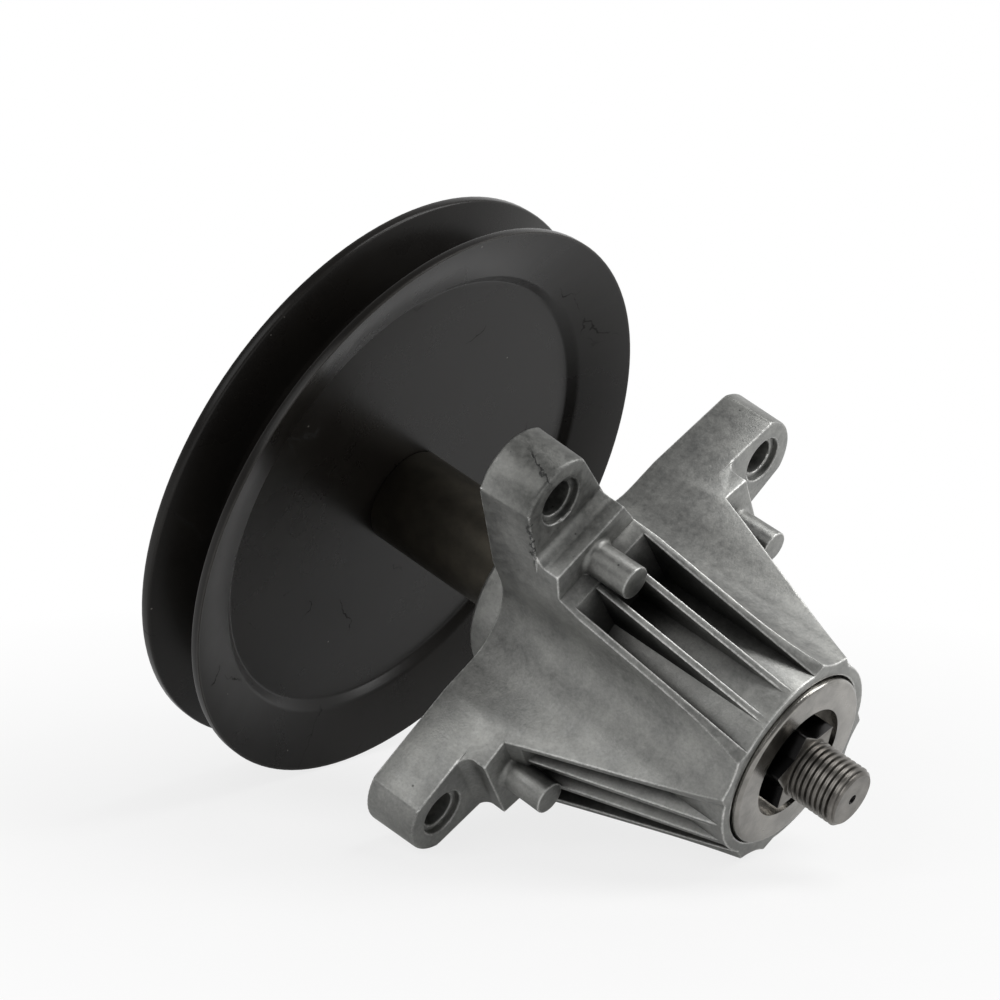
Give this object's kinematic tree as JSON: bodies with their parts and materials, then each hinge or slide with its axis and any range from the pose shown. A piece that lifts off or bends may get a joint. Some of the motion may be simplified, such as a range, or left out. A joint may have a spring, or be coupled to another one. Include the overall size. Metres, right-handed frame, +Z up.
{
  "type": "mower deck spindle",
  "caption": "Mower deck spindle: ribbed die-cast housing with bolt ears carries a shaft on sealed ball bearings, with a V-belt pulley above and a star-drive blade stud below.",
  "frame": {"origin": "on the spindle axis, in the plane of the ears' top faces that bolt up against the deck", "axes": "+Z up the spindle axis from the blade stud to the pulley; the four bolt ears lie on +X, -X, +Y and -Y"},
  "size_m": [0.146, 0.146, 0.1557],
  "materials": {
    "cast_aluminium": "as cast, matte",
    "steel": "turned",
    "blackened_steel": "black oxide",
    "black_paint": "satin",
    "zinc_plate": "bright zinc",
    "bearing_steel": "ground",
    "black_rubber": "matte"
  },
  "bodies": {
    "housing": {"spindle_housing": "cast_aluminium", "upper_bearing_outer_race": "bearing_steel", "upper_bearing_top_seal": "black_rubber", "upper_bearing_bottom_seal": "black_rubber", "lower_bearing_outer_race": "bearing_steel", "lower_bearing_top_seal": "black_rubber", "lower_bearing_bottom_seal": "black_rubber"},
    "rotor": {"spindle_shaft": "steel", "blade_disc": "steel", "pulley_spacer": "blackened_steel", "bearing_spacer": "steel", "lower_pulley_half": "black_paint", "upper_pulley_half": "black_paint", "pulley_nut": "zinc_plate", "upper_bearing_inner_race": "bearing_steel", "lower_bearing_inner_race": "bearing_steel"},
    "upper_ball_set": {"upper_bearing_balls": "bearing_steel", "upper_bearing_cage": "bearing_steel"},
    "lower_ball_set": {"lower_bearing_balls": "bearing_steel", "lower_bearing_cage": "bearing_steel"}
  },
  "joints": [
    {"name": "spindle_spin", "type": "hinge", "parent": "housing", "child": "rotor", "pos_m": [0, 0, 0], "axis": [0, 0, 1], "continuous": true},
    {"name": "upper_ball_orbit", "type": "hinge", "parent": "housing", "child": "upper_ball_set", "pos_m": [0, 0, 0.0008], "axis": [0, 0, 1], "continuous": true},
    {"name": "lower_ball_orbit", "type": "hinge", "parent": "housing", "child": "lower_ball_set", "pos_m": [0, 0, -0.0588], "axis": [0, 0, 1], "continuous": true}
  ],
  "couplings": [
    {"joint": "upper_ball_orbit", "follows": "spindle_spin", "ratio": 0.38158},
    {"joint": "lower_ball_orbit", "follows": "spindle_spin", "ratio": 0.38158}
  ]
}
